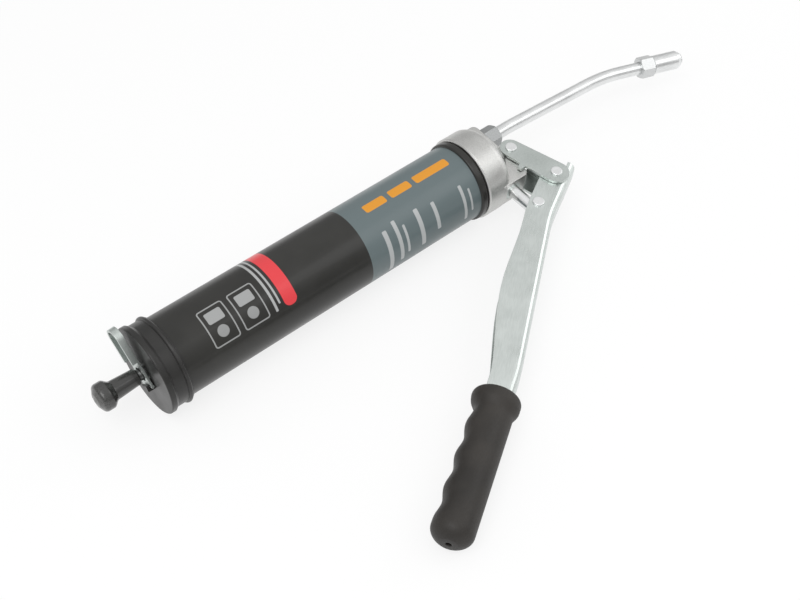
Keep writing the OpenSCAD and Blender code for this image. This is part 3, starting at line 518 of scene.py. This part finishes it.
def make_grip():
    """Smooth moulded grip with finger waves, a vent and the pocket that holds the lever."""
    made = bmesh.new()

    def skin(sections):
        """Joins sections of equally many points and returns the first and the last ring."""
        rings = [[made.verts.new(point) for point in section] for section in sections]
        for ring, following in zip(rings, rings[1:]):
            for i in range(len(ring)):
                made.faces.new((ring[i - 1], ring[i], following[i], following[i - 1]))
        return rings[0], rings[-1]

    outside = [grip_section(s) for s in grip_stations()]
    vent = [round_section(GRIP_LENGTH, VENT_R), round_section(GRIP_LENGTH - VENT_DEPTH, VENT_R)]
    collar, vent_floor = skin(outside + vent)
    mouth, pocket_floor = skin([pocket_section(*station) for station in POCKET])
    made.faces.new(vent_floor)
    made.faces.new(pocket_floor)
    rims = [made.edges.get((ring[i - 1], ring[i])) for ring in (collar, mouth) for i in range(len(ring))]
    bmesh.ops.triangle_fill(made, use_beauty=True, edges=rims)
    bmesh.ops.recalc_face_normals(made, faces=made.faces)
    for face in made.faces:
        face.smooth = True
    for edge in made.edges:
        edge.smooth = edge.calc_face_angle() < math.radians(SHARP_EDGE)
    made.transform(grip_placement())
    mesh = bpy.data.meshes.new("grip_moulding")
    made.to_mesh(mesh)
    made.free()
    mesh.materials.append(FINISHES["rubber"])
    grip = bpy.data.objects.new("grip_moulding", mesh)
    bpy.context.scene.collection.objects.link(grip)
    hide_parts("grip_sleeve")
    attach(grip, "lever")


def make_floor():
    """Large pale floor that glows a little for what sees it directly, so that it reads as white paper."""
    bpy.ops.mesh.primitive_plane_add(size=FLOOR_SIZE)
    floor = bpy.context.object
    floor.name = "floor"
    material = bpy.data.materials.new("floor_paper")
    material.use_nodes = True
    tree = material.node_tree
    tree.nodes.clear()
    paper = tree.nodes.new("ShaderNodeBsdfDiffuse")
    paper.inputs["Color"].default_value = (FLOOR_GREY, FLOOR_GREY, FLOOR_GREY, 1)
    glow = tree.nodes.new("ShaderNodeEmission")
    path = tree.nodes.new("ShaderNodeLightPath")
    mix = tree.nodes.new("ShaderNodeMixShader")
    out = tree.nodes.new("ShaderNodeOutputMaterial")
    seen = path.outputs["Is Camera Ray"]
    for ray in ("Is Glossy Ray", "Is Transmission Ray"):
        either = tree.nodes.new("ShaderNodeMath")
        either.operation = "MAXIMUM"
        tree.links.new(seen, either.inputs[0])
        tree.links.new(path.outputs[ray], either.inputs[1])
        seen = either.outputs[0]
    share = tree.nodes.new("ShaderNodeMath")
    share.operation = "MULTIPLY"
    share.inputs[1].default_value = FLOOR_GLOW
    tree.links.new(seen, share.inputs[0])
    tree.links.new(share.outputs[0], mix.inputs[0])
    tree.links.new(paper.outputs[0], mix.inputs[1])
    tree.links.new(glow.outputs[0], mix.inputs[2])
    tree.links.new(mix.outputs[0], out.inputs["Surface"])
    floor.data.materials.append(material)
    floor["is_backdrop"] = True


def make_sky():
    """World light that grows from the horizon to the zenith."""
    world = bpy.data.worlds.new("studio")
    bpy.context.scene.world = world
    world.use_nodes = True
    tree = world.node_tree
    spot = tree.nodes.new("ShaderNodeTexCoord")
    split = tree.nodes.new("ShaderNodeSeparateXYZ")
    climb = tree.nodes.new("ShaderNodeMapRange")
    climb.inputs["To Min"].default_value = SKY_HORIZON
    climb.inputs["To Max"].default_value = SKY_ZENITH
    tree.links.new(spot.outputs["Generated"], split.inputs[0])
    tree.links.new(split.outputs["Z"], climb.inputs["Value"])
    tree.links.new(climb.outputs[0], tree.nodes["Background"].inputs["Strength"])
    tree.nodes["Background"].inputs["Color"].default_value = (1, 1, 1, 1)


def make_lamps():
    """Square soft boxes aimed at the middle of the part."""
    low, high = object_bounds()
    target = (low + high) / 2
    for name, box in SOFT_BOXES.items():
        lamp = bpy.data.lights.new(name, "AREA")
        lamp.size = box["size"]
        lamp.energy = box["power"]
        holder = bpy.data.objects.new(name, lamp)
        holder.location = box["at"]
        holder.rotation_euler = (target - holder.location).to_track_quat("-Z", "Y").to_euler()
        bpy.context.scene.collection.objects.link(holder)


def make_camera():
    """Camera that looks down at the part from the photograph's viewpoint."""
    lens = bpy.data.cameras.new("camera")
    lens.lens = LENS_MM
    lens.sensor_width = SENSOR_MM
    camera = bpy.data.objects.new("camera", lens)
    camera.location = CAMERA_AT
    camera.rotation_euler = (math.radians(90 - CAMERA_DIP), 0, -math.radians(CAMERA_HEADING))
    bpy.context.scene.collection.objects.link(camera)
    bpy.context.scene.camera = camera


for name, press in PRESSED_SPRINGS.items():
    make_pressed_spring(name, **press)
make_grip()
make_floor()
make_sky()
make_lamps()
make_camera()
bpy.context.scene.view_settings.view_transform = "Standard"
